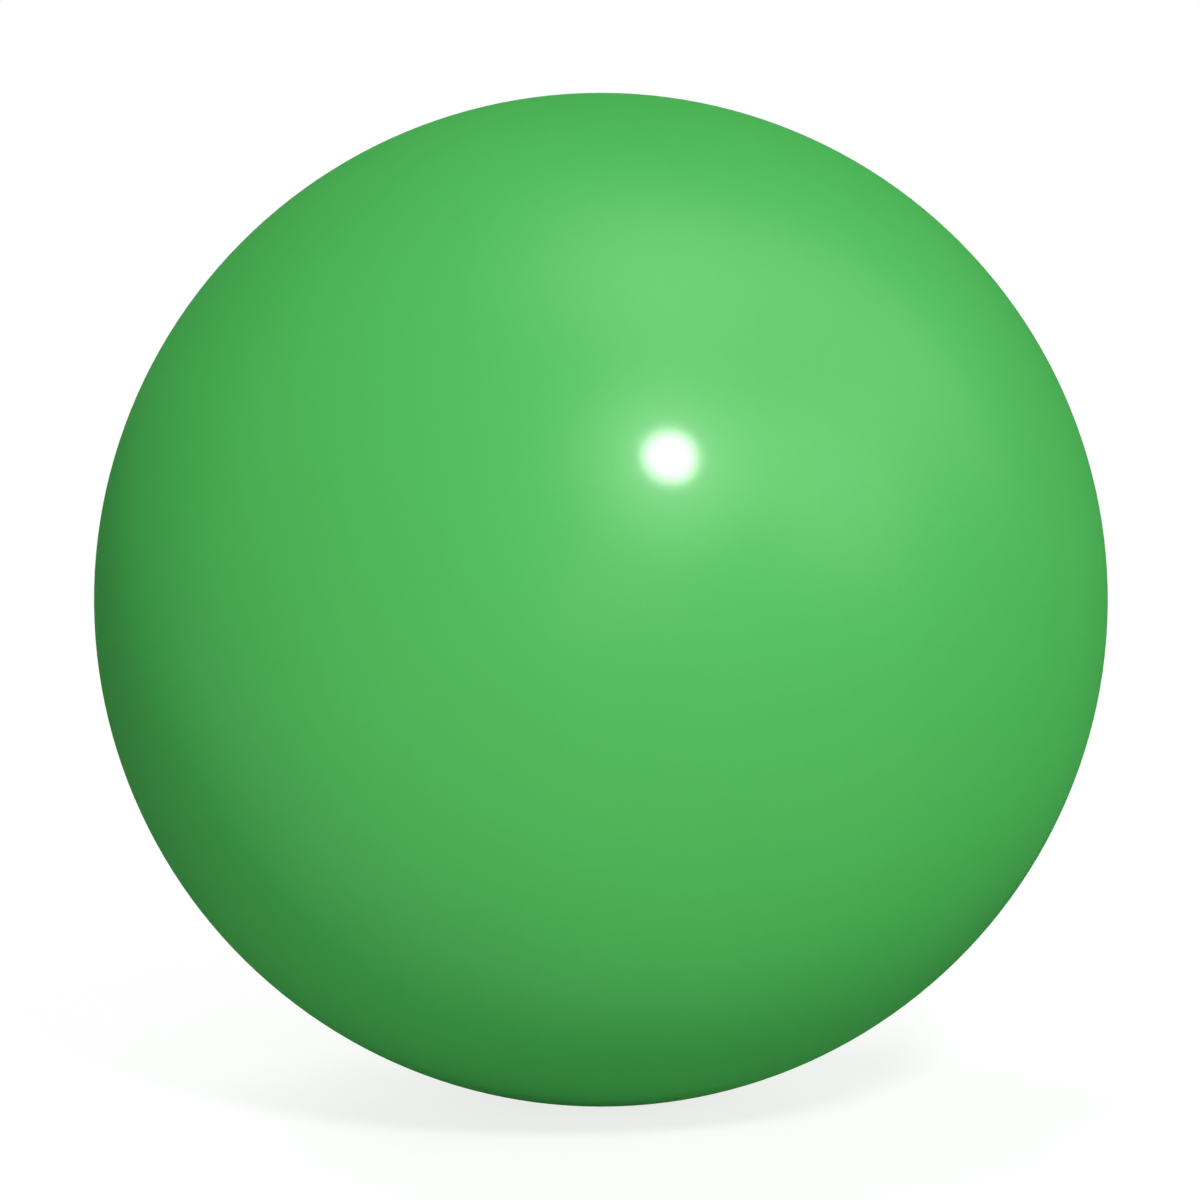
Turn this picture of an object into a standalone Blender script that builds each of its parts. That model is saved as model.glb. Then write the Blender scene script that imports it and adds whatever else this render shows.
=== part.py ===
"""Rhythmic gymnastics ball: a hollow moulded rubber shell closed by a flush needle valve.

The ball's centre is the origin and +Z is up. The valve points along +Y, so the plain front of the
ball faces -Y. Every piece is turned about the valve's axis. Its outline is a list of points
(radius, height): the distance from that axis, and the distance from the ball's centre towards the
valve. All sizes are in metres.
"""

import math

import bmesh
import bpy

# Shell: a senior's competition ball, with the wall that makes it weigh a little over 0.4 kg
BALL_DIAMETER = 0.185
SHELL_WALL = 0.0032
MOUTH_ROUND = 0.0005

# Nipple: a soft stopper with a needle's way down its middle, closed at its inner end
NEEDLE_BORE = 0.002
FUNNEL_WIDTH = 0.0008
FUNNEL_DEPTH = 0.001
STEM_WALL = 0.002
STEM_TAPER = 0.0005
STEM_LENGTH = 0.015
SEAL_LENGTH = 0.006
HEAD_LIP = 0.0016
HEAD_THICKNESS = 0.0014
HEAD_ROUND = 0.0004
TIP_ROUND = 0.0006

# Housing: a sleeve through the shell, with a flange that lies against the shell's inner wall
RIM_WIDTH = 0.002
RIM_ROUND = 0.0003
TIP_COVER = 0.0005
FLANGE_WIDTH = 0.0085
FLANGE_THICKNESS = 0.0018
FLANGE_ROUND = 0.0004

# Patch: a ring cemented over the flange and onto the wall around it, thinned to its edge
PATCH_LAP = 0.008
PATCH_THICKNESS = 0.0012
PATCH_EDGE = 0.0004

# Fits: the gap between pieces that touch, and how far the valve lies below the ball's round
FIT_GAP = 0.0003
FLUSH_DROP = 0.0001

# Facets: the shell's rings are even in number, so that one lies on its equator
SHELL_SEGMENTS = 64
SHELL_RINGS = 32
VALVE_SEGMENTS = 32
CAP_STEPS = 4
ROUND_STEPS = 3
MERGE_DISTANCE = 1e-6
SHARP_ANGLE = math.radians(35)

# Colours in linear light: the skin's bright green, and deeper greens for the valve's rubbers
SKIN_GREEN = (0.040, 0.440, 0.070, 1.0)
SKIN_ROUGHNESS = 0.35
HOUSING_GREEN = (0.028, 0.330, 0.052, 1.0)
HOUSING_ROUGHNESS = 0.45
NIPPLE_GREEN = (0.018, 0.200, 0.036, 1.0)
NIPPLE_ROUGHNESS = 0.5
PATCH_GREEN = (0.060, 0.230, 0.080, 1.0)
PATCH_ROUGHNESS = 0.7


def height_on(sphere_radius, radius):
    """Height of a sphere about the ball's centre, at that distance from the valve's axis."""
    return math.sqrt(sphere_radius**2 - radius**2)


# Radii and heights that several pieces share
ball_radius = BALL_DIAMETER / 2
inner_radius = ball_radius - SHELL_WALL
needle_radius = NEEDLE_BORE / 2
stem_top_radius = needle_radius + STEM_WALL
stem_tip_radius = stem_top_radius - STEM_TAPER
head_radius = stem_top_radius + HEAD_LIP
pocket_radius = head_radius + FIT_GAP
sleeve_radius = pocket_radius + RIM_WIDTH
hole_radius = sleeve_radius + FIT_GAP
flange_radius = sleeve_radius + FLANGE_WIDTH
flange_face = inner_radius - FIT_GAP
flange_back = flange_face - FLANGE_THICKNESS
head_top = height_on(ball_radius, head_radius) - FLUSH_DROP
head_bottom = head_top - HEAD_THICKNESS
pocket_floor = head_bottom - FIT_GAP
stem_tip = head_bottom - STEM_LENGTH
needle_end = stem_tip + SEAL_LENGTH
sleeve_end = stem_tip - TIP_COVER


def on_sphere(sphere_radius, angles):
    """Outline points on a sphere, at angles from the valve's axis."""
    return [(sphere_radius * math.sin(a), sphere_radius * math.cos(a)) for a in angles]


def cap_line(sphere_radius, start_radius, end_radius):
    """Outline points along a sphere near the valve, from one distance off its axis to another."""
    start = math.asin(start_radius / sphere_radius)
    end = math.asin(end_radius / sphere_radius)
    steps = range(CAP_STEPS + 1)
    return on_sphere(sphere_radius, [start + (end - start) * i / CAP_STEPS for i in steps])


def globe_line(sphere_radius, start_radius):
    """Outline points down a sphere, from a hole round the valve to the opposite pole."""
    start = math.asin(start_radius / sphere_radius)
    ring = math.pi / SHELL_RINGS
    first = math.floor(start / ring + 0.5) + 1
    line = on_sphere(sphere_radius, [start] + [i * ring for i in range(first, SHELL_RINGS)])
    return line + [(0.0, -sphere_radius)]


def rounded(before, corner, after, radius):
    """Outline points of a round tangent to the two straight lines that meet at a corner."""
    to_before = math.atan2(before[1] - corner[1], before[0] - corner[0])
    to_after = math.atan2(after[1] - corner[1], after[0] - corner[0])
    opening = (to_after - to_before + math.pi) % (2 * math.pi) - math.pi
    reach = radius / math.sin(abs(opening) / 2)
    middle = to_before + opening / 2
    centre = (corner[0] + reach * math.cos(middle), corner[1] + reach * math.sin(middle))
    sweep = math.copysign(math.pi - abs(opening), -opening)
    start = middle + math.pi - sweep / 2
    angles = [start + sweep * i / ROUND_STEPS for i in range(ROUND_STEPS + 1)]
    return [(centre[0] + radius * math.cos(a), centre[1] + radius * math.sin(a)) for a in angles]


def rubber(name, colour, roughness):
    """A plain rubber material."""
    material = bpy.data.materials.new(name)
    material.use_nodes = True
    shader = material.node_tree.nodes["Principled BSDF"]
    shader.inputs["Base Color"].default_value = colour
    shader.inputs["Roughness"].default_value = roughness
    shader.inputs["Metallic"].default_value = 0.0
    material.diffuse_color = colour
    return material


def turned(name, outline, closed, segments, material, axis):
    """One solid turned from an outline, which is a ring's closed loop or runs from axis to axis."""
    shape = bmesh.new()
    points = [shape.verts.new((radius, 0.0, height)) for radius, height in outline]
    pairs = list(zip(points, points[1:]))
    if closed:
        pairs.append((points[-1], points[0]))
    edges = [shape.edges.new(pair) for pair in pairs]
    bmesh.ops.spin(
        shape,
        geom=points + edges,
        cent=(0.0, 0.0, 0.0),
        axis=(0.0, 0.0, 1.0),
        angle=2 * math.pi,
        steps=segments,
        use_merge=True,
    )
    bmesh.ops.remove_doubles(shape, verts=shape.verts[:], dist=MERGE_DISTANCE)
    bmesh.ops.recalc_face_normals(shape, faces=shape.faces[:])
    mesh = bpy.data.meshes.new(name)
    shape.to_mesh(mesh)
    shape.free()
    mesh.shade_smooth()
    mesh.set_sharp_from_angle(angle=SHARP_ANGLE)
    mesh.materials.append(material)
    piece = bpy.data.objects.new(name, mesh)
    piece.parent = axis
    bpy.context.scene.collection.objects.link(piece)
    return piece


def ball_shell(axis):
    """The moulded skin: one even wall with a round hole for the valve, eased at its outer edge."""
    outer = globe_line(ball_radius, hole_radius)
    inner = globe_line(inner_radius, hole_radius)
    mouth = rounded(inner[0], outer[0], outer[1], MOUTH_ROUND)
    outline = inner[::-1] + mouth + outer[1:]
    skin = rubber("skin_rubber", SKIN_GREEN, SKIN_ROUGHNESS)
    return turned("ball_shell", outline, False, SHELL_SEGMENTS, skin, axis)


def valve_housing(axis):
    """The bonded sleeve: a rim flush with the skin, a pocket and bore for the nipple, and a flange."""
    rim_inside = (pocket_radius, height_on(ball_radius, pocket_radius) - FLUSH_DROP)
    rim_outside = (sleeve_radius, height_on(ball_radius, sleeve_radius) - FLUSH_DROP)
    face = cap_line(flange_face, sleeve_radius, flange_radius)
    back = cap_line(flange_back, flange_radius, sleeve_radius)
    outer_end = (sleeve_radius, sleeve_end)
    inner_end = (stem_tip_radius + FIT_GAP, sleeve_end)
    bore_foot = (stem_tip_radius + FIT_GAP, stem_tip)
    bore_mouth = (stem_top_radius + FIT_GAP, pocket_floor)
    pocket_edge = (pocket_radius, pocket_floor)
    outline = (
        rounded(pocket_edge, rim_inside, rim_outside, RIM_ROUND)
        + rounded(rim_inside, rim_outside, face[0], RIM_ROUND)
        + face[:-1]
        + rounded(face[-2], face[-1], back[0], FLANGE_ROUND)
        + rounded(face[-1], back[0], back[1], FLANGE_ROUND)
        + back[1:]
        + rounded(back[-1], outer_end, inner_end, RIM_ROUND)
        + [inner_end, bore_foot, bore_mouth, pocket_edge]
    )
    compound = rubber("housing_rubber", HOUSING_GREEN, HOUSING_ROUGHNESS)
    return turned("valve_housing", outline, True, VALVE_SEGMENTS, compound, axis)


def valve_patch(axis):
    """The cemented ring: it lies on the flange's back, steps down its edge and laps onto the wall."""
    over_flange = flange_back - FIT_GAP
    hole = sleeve_radius + FIT_GAP
    step = flange_radius + FIT_GAP
    bend = step + PATCH_THICKNESS
    edge = bend + PATCH_LAP
    lap_back = cap_line(flange_face - PATCH_THICKNESS, edge, bend)
    thinned = [
        (radius, height + (PATCH_THICKNESS - PATCH_EDGE) * (radius - bend) / PATCH_LAP)
        for radius, height in lap_back
    ]
    outline = (
        cap_line(over_flange, hole, step)
        + cap_line(flange_face, step, edge)
        + thinned
        + cap_line(over_flange - PATCH_THICKNESS, bend, hole)
    )
    sheet = rubber("patch_rubber", PATCH_GREEN, PATCH_ROUGHNESS)
    return turned("valve_patch", outline, True, VALVE_SEGMENTS, sheet, axis)


def valve_nipple(axis):
    """The soft stopper: a flat head, a tapered stem and a blind needle's way with a funnel mouth."""
    funnel = (needle_radius + FUNNEL_WIDTH, head_top)
    head_edge = (head_radius, head_top)
    head_foot = (head_radius, head_bottom)
    neck = (stem_top_radius, head_bottom)
    tip_edge = (stem_tip_radius, stem_tip)
    tip_middle = (0.0, stem_tip)
    outline = (
        [(0.0, needle_end), (needle_radius, needle_end)]
        + [(needle_radius, head_top - FUNNEL_DEPTH), funnel]
        + rounded(funnel, head_edge, head_foot, HEAD_ROUND)
        + [head_foot, neck]
        + rounded(neck, tip_edge, tip_middle, TIP_ROUND)
        + [tip_middle]
    )
    soft = rubber("nipple_rubber", NIPPLE_GREEN, NIPPLE_ROUGHNESS)
    return turned("valve_nipple", outline, False, VALVE_SEGMENTS, soft, axis)


def main():
    for old in list(bpy.data.objects):
        bpy.data.objects.remove(old)
    axis = bpy.data.objects.new("valve_axis", None)
    axis.rotation_euler = (-math.pi / 2, 0.0, 0.0)
    bpy.context.scene.collection.objects.link(axis)
    ball_shell(axis)
    valve_housing(axis)
    valve_patch(axis)
    valve_nipple(axis)


main()
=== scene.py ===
"""Looks of a rhythmic gymnastics ball: its finishes and fine meshes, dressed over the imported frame."""

import math

import bmesh
import bpy
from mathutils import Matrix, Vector


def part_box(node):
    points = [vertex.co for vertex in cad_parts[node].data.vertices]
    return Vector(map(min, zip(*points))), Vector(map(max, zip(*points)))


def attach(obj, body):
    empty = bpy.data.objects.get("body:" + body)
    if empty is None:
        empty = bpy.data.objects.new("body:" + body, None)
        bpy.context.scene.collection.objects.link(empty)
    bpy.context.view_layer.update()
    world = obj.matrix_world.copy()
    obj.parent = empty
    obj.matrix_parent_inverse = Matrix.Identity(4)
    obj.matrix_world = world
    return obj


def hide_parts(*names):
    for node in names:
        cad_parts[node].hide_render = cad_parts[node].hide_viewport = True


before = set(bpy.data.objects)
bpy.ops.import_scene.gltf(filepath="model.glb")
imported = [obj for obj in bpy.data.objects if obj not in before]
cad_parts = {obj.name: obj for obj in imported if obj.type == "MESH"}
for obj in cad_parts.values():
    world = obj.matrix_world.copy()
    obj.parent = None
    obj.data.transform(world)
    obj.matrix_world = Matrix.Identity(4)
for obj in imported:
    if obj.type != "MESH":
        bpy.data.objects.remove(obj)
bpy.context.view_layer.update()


# Ball skin: one hollow moulding of bright green rubber, blown up until it is truly round.
# The two halves of its mould leave a flash round the middle, square to the valve, which is buffed
# down to a faint line. The skin is smooth, with the fine grain of a polished mould.
shell_points = [point.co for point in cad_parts["ball_shell"].data.vertices]
ball_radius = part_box("ball_shell")[1].x
wall_radius = min(point.length for point in shell_points)
valve_side = [point for point in shell_points if point.y > 0]
hole_radius = min(math.hypot(point.x, point.z) for point in valve_side)
MOUTH_ROUND = 0.0005
FLASH_HEIGHT = 0.00003
FLASH_WIDTH = 0.0005
BUFFED_WIDTH = 0.0022
SKIN_SEGMENTS = 192
SKIN_RINGS = 96
FLASH_RINGS = 8
ROUND_STEPS = 6
FLASH_SPAN = 3
FLASH_CLEAR = 2
SHARP_ANGLE = math.radians(35)
MERGE_DISTANCE = 1e-6
SKIN_DARK = (0.056, 0.411, 0.076)
SKIN_PALE = (0.063, 0.439, 0.083)
SKIN_MOTTLE_SIZE = 0.035
SKIN_POLISH_SIZE = 0.018
SKIN_SMOOTHEST = 0.108
SKIN_ROUGHEST = 0.13
BUFFED_ROUGHNESS = 0.34
GLOSS_LEVEL = 0.195
GLOSS_END = 0.52
WAVE_SIZE = 0.006
WAVE_HEIGHT = 0.000003
PEBBLE_SIZE = 0.0005
PEBBLE_HEIGHT = 0.000001
MATT_ROUGHNESS = 0.25
SHEEN_WEIGHT = 0.04
SHEEN_ROUGHNESS = 0.45
SHEEN_IOR = 4.0


def turned(name, outline, closed, segments):
    """A piece turned about the valve's axis, +Y, from points given as (radius, height)."""
    shape = bmesh.new()
    points = [shape.verts.new((radius, height, 0.0)) for radius, height in outline]
    pairs = list(zip(points, points[1:]))
    if closed:
        pairs.append((points[-1], points[0]))
    edges = [shape.edges.new(pair) for pair in pairs]
    bmesh.ops.spin(
        shape,
        geom=points + edges,
        cent=(0.0, 0.0, 0.0),
        axis=(0.0, 1.0, 0.0),
        angle=2 * math.pi,
        steps=segments,
        use_merge=True,
    )
    bmesh.ops.remove_doubles(shape, verts=shape.verts[:], dist=MERGE_DISTANCE)
    bmesh.ops.recalc_face_normals(shape, faces=shape.faces[:])
    mesh = bpy.data.meshes.new(name)
    shape.to_mesh(mesh)
    shape.free()
    mesh.shade_smooth()
    mesh.set_sharp_from_angle(angle=SHARP_ANGLE)
    piece = bpy.data.objects.new(name, mesh)
    bpy.context.scene.collection.objects.link(piece)
    return piece


def rounded(before, corner, after, radius):
    """Outline points of a round tangent to the two straight lines that meet at a corner."""
    to_before = math.atan2(before[1] - corner[1], before[0] - corner[0])
    to_after = math.atan2(after[1] - corner[1], after[0] - corner[0])
    opening = (to_after - to_before + math.pi) % (2 * math.pi) - math.pi
    reach = radius / math.sin(abs(opening) / 2)
    middle = to_before + opening / 2
    centre = (corner[0] + reach * math.cos(middle), corner[1] + reach * math.sin(middle))
    sweep = math.copysign(math.pi - abs(opening), -opening)
    start = middle + math.pi - sweep / 2
    angles = [start + sweep * i / ROUND_STEPS for i in range(ROUND_STEPS + 1)]
    return [(centre[0] + radius * math.cos(a), centre[1] + radius * math.sin(a)) for a in angles]


def flash_rise(angle):
    """Height of the buffed flash at an angle from the valve's axis."""
    off_middle = (angle - math.pi / 2) * ball_radius
    return FLASH_HEIGHT * math.exp(-((2 * off_middle / FLASH_WIDTH) ** 2))


def skin_line(sphere_radius, angles, rise):
    """Outline points on a sphere at angles from the valve's axis, ending on the axis opposite it."""
    line = []
    for angle in angles:
        reach = sphere_radius + rise(angle)
        line.append((reach * math.sin(angle), reach * math.cos(angle)))
    return line + [(0.0, -sphere_radius)]


def skin_angles(sphere_radius):
    """Even steps from the valve's hole to the pole opposite, with finer ones across the flash."""
    start = math.asin(hole_radius / sphere_radius)
    even = [start + (math.pi - start) * i / SKIN_RINGS for i in range(SKIN_RINGS)]
    fine = FLASH_WIDTH / sphere_radius / FLASH_RINGS * FLASH_SPAN
    flash = [math.pi / 2 + fine * i for i in range(-FLASH_RINGS, FLASH_RINGS + 1)]
    clear = [a for a in even if abs(a - math.pi / 2) > fine * (FLASH_RINGS + FLASH_CLEAR)]
    return sorted(clear + flash)


def no_rise(angle):
    """The inner wall has no flash."""
    return 0.0


def finish(name):
    """A new material with its node tree, its shader and the coordinates of the piece itself."""
    material = bpy.data.materials.new(name)
    material.use_nodes = True
    tree = material.node_tree
    place = tree.nodes.new("ShaderNodeTexCoord").outputs["Object"]
    return material, tree, tree.nodes["Principled BSDF"], place


def grain(tree, place, size, detail):
    """Noise from 0 to 1 whose lumps are about that size, in metres."""
    noise = tree.nodes.new("ShaderNodeTexNoise")
    noise.inputs["Scale"].default_value = 1 / size
    noise.inputs["Detail"].default_value = detail
    tree.links.new(place, noise.inputs["Vector"])
    return noise.outputs["Fac"]


def spread(tree, value, low, high):
    """A 0 to 1 value spread between two numbers."""
    ranged = tree.nodes.new("ShaderNodeMapRange")
    ranged.inputs["To Min"].default_value = low
    ranged.inputs["To Max"].default_value = high
    tree.links.new(value, ranged.inputs["Value"])
    return ranged.outputs["Result"]


def shade_between(tree, value, dark, pale):
    """A colour between two, by a 0 to 1 value."""
    mix = tree.nodes.new("ShaderNodeMix")
    mix.data_type = "RGBA"
    mix.inputs["A"].default_value = (*dark, 1.0)
    mix.inputs["B"].default_value = (*pale, 1.0)
    tree.links.new(value, mix.inputs["Factor"])
    return mix.outputs["Result"]


def relief(tree, value, height, normal=None):
    """A bump of that height in metres, on top of another where one is given."""
    bump = tree.nodes.new("ShaderNodeBump")
    bump.inputs["Strength"].default_value = 1.0
    bump.inputs["Distance"].default_value = height
    tree.links.new(value, bump.inputs["Height"])
    if normal is not None:
        tree.links.new(normal, bump.inputs["Normal"])
    return bump.outputs["Normal"]


def flash_band(tree, place):
    """1 where the flash was buffed off, falling to 0 beside it."""
    parts = tree.nodes.new("ShaderNodeSeparateXYZ")
    tree.links.new(place, parts.inputs["Vector"])
    off_middle = tree.nodes.new("ShaderNodeMath")
    off_middle.operation = "ABSOLUTE"
    tree.links.new(parts.outputs["Y"], off_middle.inputs[0])
    band = tree.nodes.new("ShaderNodeMapRange")
    band.interpolation_type = "SMOOTHSTEP"
    band.inputs["From Min"].default_value = BUFFED_WIDTH / 2
    band.inputs["From Max"].default_value = BUFFED_WIDTH
    band.inputs["To Min"].default_value = 1.0
    band.inputs["To Max"].default_value = 0.0
    tree.links.new(off_middle.outputs["Value"], band.inputs["Value"])
    return band.outputs["Result"]


def between(tree, share, first, second):
    """A number that goes from a linked one to a set one with a 0 to 1 share."""
    mix = tree.nodes.new("ShaderNodeMix")
    mix.data_type = "FLOAT"
    tree.links.new(share, mix.inputs["Factor"])
    tree.links.new(first, mix.inputs["A"])
    mix.inputs["B"].default_value = second
    return mix.outputs["Result"]


def polish(tree, level):
    """Gloss that is full where the skin faces the eye, and gone before its edge."""
    edge = tree.nodes.new("ShaderNodeLayerWeight")
    edge.inputs["Blend"].default_value = 0.5
    fade = tree.nodes.new("ShaderNodeMapRange")
    fade.interpolation_type = "SMOOTHSTEP"
    fade.inputs["From Min"].default_value = 0.0
    fade.inputs["From Max"].default_value = GLOSS_END
    fade.inputs["To Min"].default_value = level
    fade.inputs["To Max"].default_value = 0.0
    tree.links.new(edge.outputs["Facing"], fade.inputs["Value"])
    return fade.outputs["Result"]


def skin_rubber():
    """Smooth green rubber, polished by its mould, with a soft sheen and a matt band at the flash."""
    material, tree, shader, place = finish("skin_rubber")
    mottle = grain(tree, place, SKIN_MOTTLE_SIZE, 3.0)
    colour = shade_between(tree, mottle, SKIN_DARK, SKIN_PALE)
    tree.links.new(colour, shader.inputs["Base Color"])
    polished = spread(tree, grain(tree, place, SKIN_POLISH_SIZE, 4.0), SKIN_SMOOTHEST, SKIN_ROUGHEST)
    roughness = between(tree, flash_band(tree, place), polished, BUFFED_ROUGHNESS)
    tree.links.new(roughness, shader.inputs["Roughness"])
    tree.links.new(polish(tree, GLOSS_LEVEL), shader.inputs["Specular IOR Level"])
    waves = relief(tree, grain(tree, place, WAVE_SIZE, 1.0), WAVE_HEIGHT)
    pebble = relief(tree, grain(tree, place, PEBBLE_SIZE, 2.0), PEBBLE_HEIGHT, waves)
    tree.links.new(pebble, shader.inputs["Normal"])
    shader.inputs["Diffuse Roughness"].default_value = MATT_ROUGHNESS
    shader.inputs["Coat Weight"].default_value = SHEEN_WEIGHT
    shader.inputs["Coat Roughness"].default_value = SHEEN_ROUGHNESS
    shader.inputs["Coat IOR"].default_value = SHEEN_IOR
    return material


skin_outer = skin_line(ball_radius, skin_angles(ball_radius), flash_rise)
skin_inner = skin_line(wall_radius, skin_angles(wall_radius), no_rise)
skin_mouth = rounded(skin_inner[0], skin_outer[0], skin_outer[1], MOUTH_ROUND)
skin_outline = skin_inner[::-1] + skin_mouth + skin_outer[1:]
ball_skin = turned("ball_skin", skin_outline, False, SKIN_SEGMENTS)
ball_skin.data.materials.append(skin_rubber())
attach(ball_skin, "ball")
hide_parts("ball_shell")


# Valve housing: a sleeve of firmer rubber, moulded with a flange and bonded into the shell's hole.
# Only its rim shows, flush with the skin. The flange lies against the inner wall, so that the air
# inside the ball can't blow the sleeve out.
FIT_GAP = 0.0003
FLUSH_DROP = 0.0001
FLANGE_THICKNESS = 0.0018
HEAD_THICKNESS = 0.0014
STEM_TOP_RADIUS = 0.003
STEM_TIP_RADIUS = 0.0025
RIM_ROUND = 0.0003
FLANGE_ROUND = 0.0004
VALVE_SEGMENTS = 96
CAP_STEPS = 8
HOUSING_DARK = (0.020, 0.270, 0.036)
HOUSING_PALE = (0.028, 0.310, 0.046)
HOUSING_MOTTLE_SIZE = 0.004
HOUSING_SMOOTHEST = 0.38
HOUSING_ROUGHEST = 0.52
HOUSING_GRAIN_HEIGHT = 0.000006
SATIN_SIZE = 0.002
VALVE_GRAIN_SIZE = 0.0003
VALVE_IOR = 1.4
stopper_low, stopper_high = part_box("valve_nipple")
head_radius = stopper_high.x
head_top = stopper_high.y
stem_tip = stopper_low.y
head_bottom = head_top - HEAD_THICKNESS
sleeve_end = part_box("valve_housing")[0].y
flange_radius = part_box("valve_housing")[1].x
sleeve_radius = hole_radius - FIT_GAP
pocket_radius = head_radius + FIT_GAP
pocket_floor = head_bottom - FIT_GAP
flange_face = wall_radius - FIT_GAP


def rim_point(radius):
    """An outline point just under the ball's round, at that distance from the valve's axis."""
    return (radius, math.sqrt(ball_radius**2 - radius**2) - FLUSH_DROP)


def cap_line(sphere_radius, start_radius, end_radius):
    """Outline points along a sphere about the ball's centre, between two distances off the axis."""
    line = []
    for step in range(CAP_STEPS + 1):
        radius = start_radius + (end_radius - start_radius) * step / CAP_STEPS
        line.append((radius, math.sqrt(sphere_radius**2 - radius**2)))
    return line


def housing_rubber():
    """Firm deep green rubber, satin, with a faint moulded grain."""
    material, tree, shader, place = finish("housing_rubber")
    mottle = grain(tree, place, HOUSING_MOTTLE_SIZE, 3.0)
    colour = shade_between(tree, mottle, HOUSING_DARK, HOUSING_PALE)
    tree.links.new(colour, shader.inputs["Base Color"])
    satin = spread(tree, grain(tree, place, SATIN_SIZE, 3.0), HOUSING_SMOOTHEST, HOUSING_ROUGHEST)
    tree.links.new(satin, shader.inputs["Roughness"])
    grained = relief(tree, grain(tree, place, VALVE_GRAIN_SIZE, 2.0), HOUSING_GRAIN_HEIGHT)
    tree.links.new(grained, shader.inputs["Normal"])
    shader.inputs["IOR"].default_value = VALVE_IOR
    return material


rim_inside = rim_point(pocket_radius)
rim_outside = rim_point(sleeve_radius)
face_line = cap_line(flange_face, sleeve_radius, flange_radius)
back_line = cap_line(flange_face - FLANGE_THICKNESS, flange_radius, sleeve_radius)
sleeve_corner = (sleeve_radius, sleeve_end)
bore_end = (STEM_TIP_RADIUS + FIT_GAP, sleeve_end)
bore_foot = (STEM_TIP_RADIUS + FIT_GAP, stem_tip)
bore_mouth = (STEM_TOP_RADIUS + FIT_GAP, pocket_floor)
pocket_corner = (pocket_radius, pocket_floor)
housing_outline = rounded(pocket_corner, rim_inside, rim_outside, RIM_ROUND)
housing_outline += rounded(rim_inside, rim_outside, face_line[0], RIM_ROUND)
housing_outline += face_line[:-1]
housing_outline += rounded(face_line[-2], face_line[-1], back_line[0], FLANGE_ROUND)
housing_outline += rounded(face_line[-1], back_line[0], back_line[1], FLANGE_ROUND)
housing_outline += back_line[1:]
housing_outline += rounded(back_line[-1], sleeve_corner, bore_end, RIM_ROUND)
housing_outline += [bore_end, bore_foot]
housing_outline += rounded(bore_foot, bore_mouth, pocket_corner, RIM_ROUND)
housing_outline += [pocket_corner]
valve_sleeve = turned("valve_sleeve", housing_outline, True, VALVE_SEGMENTS)
valve_sleeve.data.materials.append(housing_rubber())
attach(valve_sleeve, "ball")
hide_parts("valve_housing")


# Valve patch: a thin ring of rubber sheet cemented over the flange, inside the ball.
# It is dull, and dusted with the mould's talc.
PATCH_DARK = (0.050, 0.210, 0.068)
PATCH_PALE = (0.130, 0.290, 0.150)
PATCH_DUST_SIZE = 0.003
PATCH_ROUGHNESS = 0.8
PATCH_GRAIN_SIZE = 0.0006
PATCH_GRAIN_HEIGHT = 0.00003


def patch_rubber():
    """Dull sheet rubber with a dusting of talc."""
    material, tree, shader, place = finish("patch_rubber")
    dust = grain(tree, place, PATCH_DUST_SIZE, 5.0)
    colour = shade_between(tree, dust, PATCH_DARK, PATCH_PALE)
    tree.links.new(colour, shader.inputs["Base Color"])
    shader.inputs["Roughness"].default_value = PATCH_ROUGHNESS
    sheet = relief(tree, grain(tree, place, PATCH_GRAIN_SIZE, 3.0), PATCH_GRAIN_HEIGHT)
    tree.links.new(sheet, shader.inputs["Normal"])
    return material


valve_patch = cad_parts["valve_patch"]
valve_patch.data.materials.clear()
valve_patch.data.materials.append(patch_rubber())


# Valve nipple: a stopper of soft dark green rubber, pushed into the housing and held by its grip.
# A pump's needle goes in through the funnel in its flat head, inside a low raised ring, and the
# rubber closes after it. Low ribs round its stem seal it in the bore.
NEEDLE_RADIUS = 0.001
FUNNEL_RADIUS = 0.0018
FUNNEL_DEPTH = 0.001
FUNNEL_ROUND = 0.00025
SEAL_LENGTH = 0.006
RING_RADIUS = 0.0027
RING_WIDTH = 0.0008
RING_HEIGHT = 0.00012
HEAD_ROUND = 0.0004
TIP_ROUND = 0.0006
RIB_COUNT = 4
RIB_WIDTH = 0.001
RIB_HEIGHT = 0.00014
RIB_SPACING = 0.0028
NIPPLE_DARK = (0.012, 0.155, 0.024)
NIPPLE_PALE = (0.018, 0.185, 0.032)
NIPPLE_MOTTLE_SIZE = 0.003
NIPPLE_SMOOTHEST = 0.42
NIPPLE_ROUGHEST = 0.58
NIPPLE_GRAIN_HEIGHT = 0.000008


def ridge(middle, along, out, width, height):
    """Outline points of a low round ridge on a line, given the directions along it and out of it."""
    line = []
    for step in range(ROUND_STEPS + 1):
        share = step / ROUND_STEPS
        way = (share - 0.5) * width
        rise = height * math.sin(math.pi * share)
        radius = middle[0] + along[0] * way + out[0] * rise
        level = middle[1] + along[1] * way + out[1] * rise
        line.append((radius, level))
    return line


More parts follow.
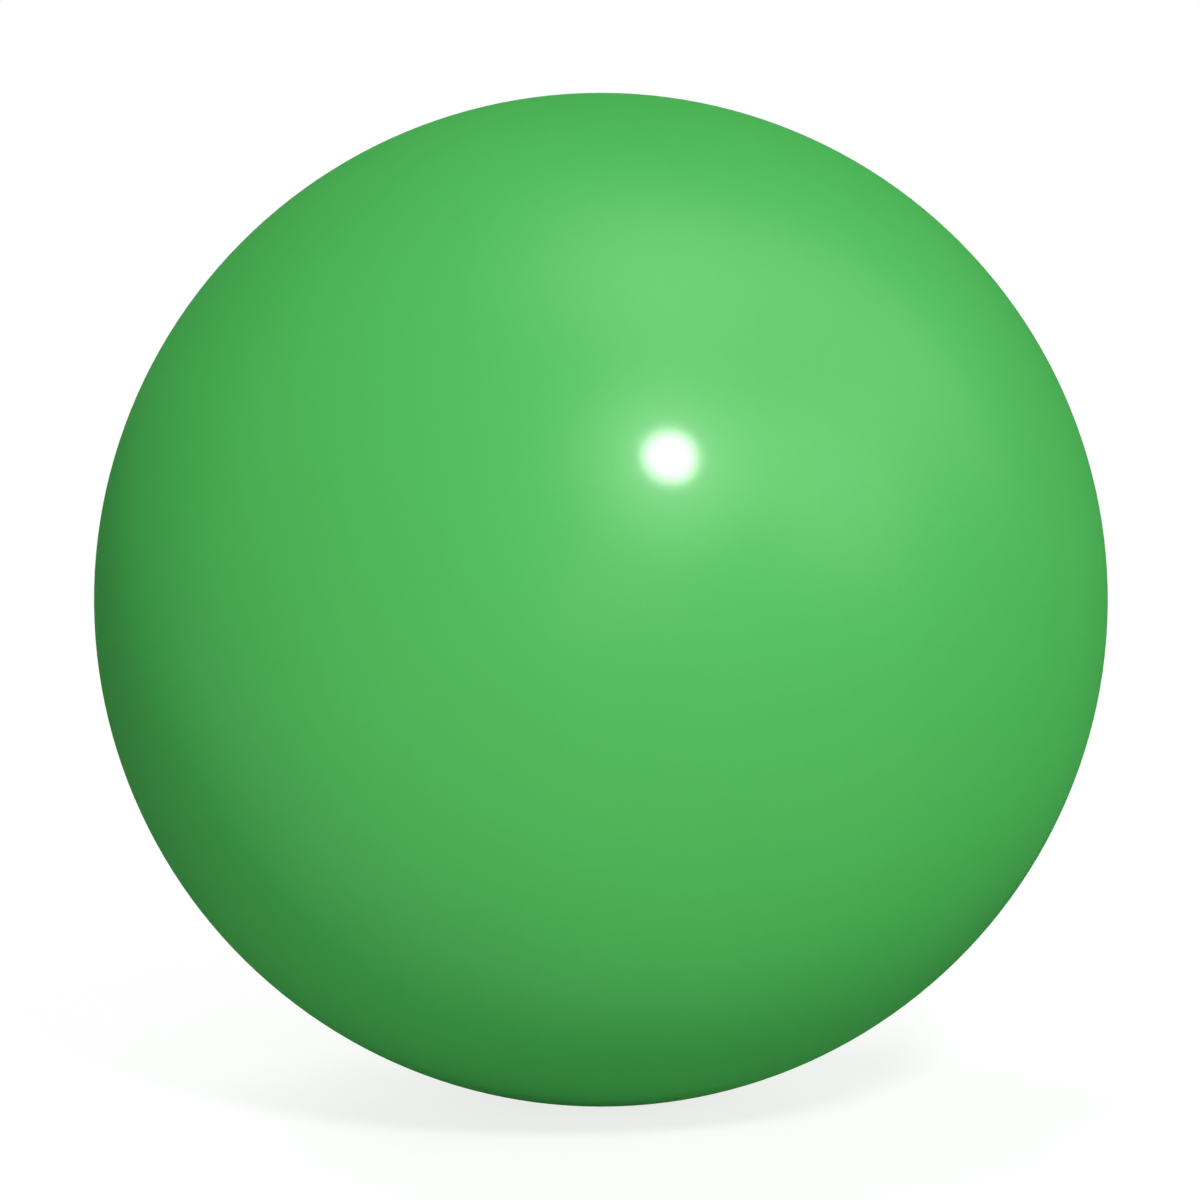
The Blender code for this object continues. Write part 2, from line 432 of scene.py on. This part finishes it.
def nipple_rubber():
    """Soft dark green rubber, satin, with a fine grain."""
    material, tree, shader, place = finish("nipple_rubber")
    mottle = grain(tree, place, NIPPLE_MOTTLE_SIZE, 3.0)
    colour = shade_between(tree, mottle, NIPPLE_DARK, NIPPLE_PALE)
    tree.links.new(colour, shader.inputs["Base Color"])
    satin = spread(tree, grain(tree, place, SATIN_SIZE, 3.0), NIPPLE_SMOOTHEST, NIPPLE_ROUGHEST)
    tree.links.new(satin, shader.inputs["Roughness"])
    grained = relief(tree, grain(tree, place, VALVE_GRAIN_SIZE, 2.0), NIPPLE_GRAIN_HEIGHT)
    tree.links.new(grained, shader.inputs["Normal"])
    shader.inputs["IOR"].default_value = VALVE_IOR
    return material


needle_end = stem_tip + SEAL_LENGTH
funnel_foot = (NEEDLE_RADIUS, head_top - FUNNEL_DEPTH)
funnel_edge = (FUNNEL_RADIUS, head_top)
head_edge = (head_radius, head_top)
head_foot = (head_radius, head_bottom)
neck = (STEM_TOP_RADIUS, head_bottom)
tip_edge = (STEM_TIP_RADIUS, stem_tip)
tip_middle = (0.0, stem_tip)
stem_length = math.dist(neck, tip_edge)
stem_way = ((tip_edge[0] - neck[0]) / stem_length, (tip_edge[1] - neck[1]) / stem_length)
stem_out = (-stem_way[1], stem_way[0])
nipple_outline = [(0.0, needle_end), (NEEDLE_RADIUS, needle_end), funnel_foot]
nipple_outline += rounded(funnel_foot, funnel_edge, head_edge, FUNNEL_ROUND)
nipple_outline += ridge((RING_RADIUS, head_top), (1.0, 0.0), (0.0, 1.0), RING_WIDTH, RING_HEIGHT)
nipple_outline += rounded(funnel_edge, head_edge, head_foot, HEAD_ROUND)
nipple_outline += rounded(head_edge, head_foot, neck, RIM_ROUND)
nipple_outline += [neck]
for rib in range(RIB_COUNT):
    way = RIB_SPACING * (rib + 1)
    middle = (neck[0] + stem_way[0] * way, neck[1] + stem_way[1] * way)
    nipple_outline += ridge(middle, stem_way, stem_out, RIB_WIDTH, RIB_HEIGHT)
nipple_outline += rounded(neck, tip_edge, tip_middle, TIP_ROUND)
nipple_outline += [tip_middle]
valve_stopper = turned("valve_stopper", nipple_outline, False, VALVE_SEGMENTS)
valve_stopper.data.materials.append(nipple_rubber())
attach(valve_stopper, "nipple")
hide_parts("valve_nipple")


# Camera: in front of the ball, a little above its middle, far enough off to show it undistorted.
# The lens is set so that the ball fills as much of the square frame as it does in the photograph.
CAMERA_DISTANCE = 0.8
CAMERA_ELEVATION = math.radians(5)
FRAME_PIXELS = 1200
BALL_PIXELS = 507
BALL_CENTRE = (600.9, 599.7)
SENSOR_WIDTH = 36.0

toward_camera = Vector((0.0, -math.cos(CAMERA_ELEVATION), math.sin(CAMERA_ELEVATION)))
camera_up = Vector((0.0, math.sin(CAMERA_ELEVATION), math.cos(CAMERA_ELEVATION)))
camera_right = Vector((1.0, 0.0, 0.0))
camera = bpy.data.objects.new("camera", bpy.data.cameras.new("camera"))
camera.location = toward_camera * CAMERA_DISTANCE
camera.rotation_euler = (math.pi / 2 - CAMERA_ELEVATION, 0.0, 0.0)
ball_angle = math.asin(ball_radius / CAMERA_DISTANCE)
half_view = math.tan(ball_angle) * FRAME_PIXELS / 2 / BALL_PIXELS
camera.data.sensor_width = SENSOR_WIDTH
camera.data.lens = SENSOR_WIDTH / 2 / half_view
camera.data.shift_x = (FRAME_PIXELS / 2 - BALL_CENTRE[0]) / FRAME_PIXELS
camera.data.shift_y = (BALL_CENTRE[1] - FRAME_PIXELS / 2) / FRAME_PIXELS
bpy.context.scene.collection.objects.link(camera)
bpy.context.scene.camera = camera


# Floor and background: a plain pale floor under the ball, which shows white to the camera and in
# reflections, as the world behind it does, and still takes the ball's soft shadow near the ball.
FLOOR_SIZE = 12.0
FLOOR_GREY = 0.5
FLOOR_SHOWN_GREY = 0.36
FLOOR_GLOW = 0.78
SHADOW_FULL = 0.05
SHADOW_REACH = 0.22
FILL_STRENGTH = 0.03
WHITE = (1.0, 1.0, 1.0, 1.0)


def seen_rays(tree):
    """1 for camera, glossy and transmission rays, and 0 for the rays that carry light."""
    path = tree.nodes.new("ShaderNodeLightPath")
    total = path.outputs["Is Camera Ray"]
    for kind in ("Is Glossy Ray", "Is Transmission Ray"):
        either = tree.nodes.new("ShaderNodeMath")
        either.operation = "MAXIMUM"
        tree.links.new(total, either.inputs[0])
        tree.links.new(path.outputs[kind], either.inputs[1])
        total = either.outputs["Value"]
    return total


def matt_grey(tree, level):
    """A matt grey paint."""
    paint = tree.nodes.new("ShaderNodeBsdfDiffuse")
    paint.inputs["Color"].default_value = (level, level, level, 1.0)
    return paint.outputs["BSDF"]


def glow(tree, strength):
    """A white glow; 1 is the picture's white."""
    light = tree.nodes.new("ShaderNodeEmission")
    light.inputs["Strength"].default_value = strength
    return light.outputs["Emission"]


def blended(tree, share, first, second):
    """One shader that gives way to another with a 0 to 1 share."""
    mix = tree.nodes.new("ShaderNodeMixShader")
    tree.links.new(share, mix.inputs["Fac"])
    tree.links.new(first, mix.inputs[1])
    tree.links.new(second, mix.inputs[2])
    return mix.outputs["Shader"]


def away_from_ball(tree):
    """0 under the ball and 1 beyond the reach of its shadow."""
    place = tree.nodes.new("ShaderNodeTexCoord").outputs["Object"]
    distance = tree.nodes.new("ShaderNodeVectorMath")
    distance.operation = "LENGTH"
    tree.links.new(place, distance.inputs[0])
    reach = tree.nodes.new("ShaderNodeMapRange")
    reach.interpolation_type = "SMOOTHSTEP"
    reach.inputs["From Min"].default_value = SHADOW_FULL
    reach.inputs["From Max"].default_value = SHADOW_REACH
    tree.links.new(distance.outputs["Value"], reach.inputs["Value"])
    return reach.outputs["Result"]


def floor_paint():
    """Pale matt paint, brightened to white where it is seen and not in shadow."""
    material = bpy.data.materials.new("floor_paint")
    material.use_nodes = True
    tree = material.node_tree
    tree.nodes.remove(tree.nodes["Principled BSDF"])
    shaded = tree.nodes.new("ShaderNodeAddShader")
    tree.links.new(matt_grey(tree, FLOOR_SHOWN_GREY), shaded.inputs[0])
    tree.links.new(glow(tree, FLOOR_GLOW), shaded.inputs[1])
    shown = blended(tree, away_from_ball(tree), shaded.outputs["Shader"], glow(tree, 1.0))
    surface = blended(tree, seen_rays(tree), matt_grey(tree, FLOOR_GREY), shown)
    tree.links.new(surface, tree.nodes["Material Output"].inputs["Surface"])
    return material


half = FLOOR_SIZE / 2
floor_mesh = bpy.data.meshes.new("floor")
floor_corners = [(-half, -half, 0.0), (half, -half, 0.0), (half, half, 0.0), (-half, half, 0.0)]
floor_mesh.from_pydata(floor_corners, [], [(0, 1, 2, 3)])
floor_mesh.materials.append(floor_paint())
floor = bpy.data.objects.new("floor", floor_mesh)
floor.location = (0.0, 0.0, -ball_radius)
bpy.context.scene.collection.objects.link(floor)

world = bpy.data.worlds.new("studio")
world.use_nodes = True
bpy.context.scene.world = world
world_tree = world.node_tree
fill = world_tree.nodes["Background"]
fill.inputs["Color"].default_value = WHITE
fill.inputs["Strength"].default_value = FILL_STRENGTH
backdrop = world_tree.nodes.new("ShaderNodeBackground")
backdrop.inputs["Color"].default_value = WHITE
backdrop.inputs["Strength"].default_value = 1.0
world_mix = world_tree.nodes.new("ShaderNodeMixShader")
world_tree.links.new(seen_rays(world_tree), world_mix.inputs["Fac"])
world_tree.links.new(fill.outputs["Background"], world_mix.inputs[1])
world_tree.links.new(backdrop.outputs["Background"], world_mix.inputs[2])
world_tree.links.new(world_mix.outputs["Shader"], world_tree.nodes["World Output"].inputs["Surface"])


# Studio lights: a small bright dish above and to the right of the camera makes the round highlight.
# Plain panels all round light the rubber and leave no reflection. Large cloths, bright in the middle
# and fading to their edges, give the soft sheen round the highlight, at the top and the right.
STAND_DISTANCE = 1.6
KEY_DISTANCE = 1.235


def lamp(name, direction, distance, diameter, power):
    """A round lamp that faces the ball, with its direction given right, up and towards the camera."""
    right, up, toward = direction
    light = bpy.data.lights.new(name, "AREA")
    light.shape = "DISK"
    light.size = diameter
    light.energy = power
    stand = bpy.data.objects.new(name, light)
    from_ball = (camera_right * right + camera_up * up + toward_camera * toward).normalized()
    stand.location = from_ball * distance
    stand.rotation_mode = "QUATERNION"
    stand.rotation_quaternion = from_ball.to_track_quat("Z", "Y")
    bpy.context.scene.collection.objects.link(stand)
    return stand


def panel(name, direction, distance, diameter, power):
    """A lamp whose shape isn't mirrored in the ball."""
    stand = lamp(name, direction, distance, diameter, power)
    stand.visible_glossy = False
    return stand


def cloth(name, direction, distance, diameter, power):
    """A lamp for reflections, brightest in its middle. A little of it still lights the rubber."""
    stand = lamp(name, direction, distance, diameter, power)
    stand.visible_diffuse = False
    stand.data.use_nodes = True
    tree = stand.data.node_tree
    across = tree.nodes.new("ShaderNodeNewGeometry").outputs["Parametric"]
    off_middle = tree.nodes.new("ShaderNodeVectorMath")
    off_middle.operation = "DISTANCE"
    off_middle.inputs[1].default_value = (0.5, 0.5, 0.0)
    tree.links.new(across, off_middle.inputs[0])
    fade = tree.nodes.new("ShaderNodeMapRange")
    fade.interpolation_type = "SMOOTHSTEP"
    fade.inputs["From Min"].default_value = 0.5
    fade.inputs["From Max"].default_value = 0.0
    tree.links.new(off_middle.outputs["Value"], fade.inputs["Value"])
    tree.links.new(fade.outputs["Result"], tree.nodes["Emission"].inputs["Strength"])
    return stand


lamp("key_dish", (0.2398, 0.4950, 0.8350), KEY_DISTANCE, 0.234, 8.0)
panel("front_panel", (0.08, 0.0, 1.0), STAND_DISTANCE, 0.95, 14.8)
panel("left_panel", (-0.3, 0.85, 0.4), STAND_DISTANCE, 1.0, 2.0)
panel("right_panel", (0.85, 0.05, -0.55), STAND_DISTANCE, 1.0, 8.5)
panel("top_panel", (-0.35, 0.9, -0.4), STAND_DISTANCE, 1.0, 7.6)
panel("back_panel", (-0.15, 0.15, -1.0), STAND_DISTANCE, 1.4, 21.0)
cloth("halo_cloth", (0.2394, 0.4895, 0.8387), STAND_DISTANCE, 1.6, 29.3)
cloth("top_cloth", (0.2, 1.0, 0.2), STAND_DISTANCE, 2.4, 53.8)
cloth("side_cloth", (0.75, 0.4, 0.5), STAND_DISTANCE, 2.0, 28.5)
cloth("edge_cloth", (0.75, 0.65, -0.2), STAND_DISTANCE, 2.4, 53.7)

bpy.context.scene.view_settings.view_transform = "Standard"
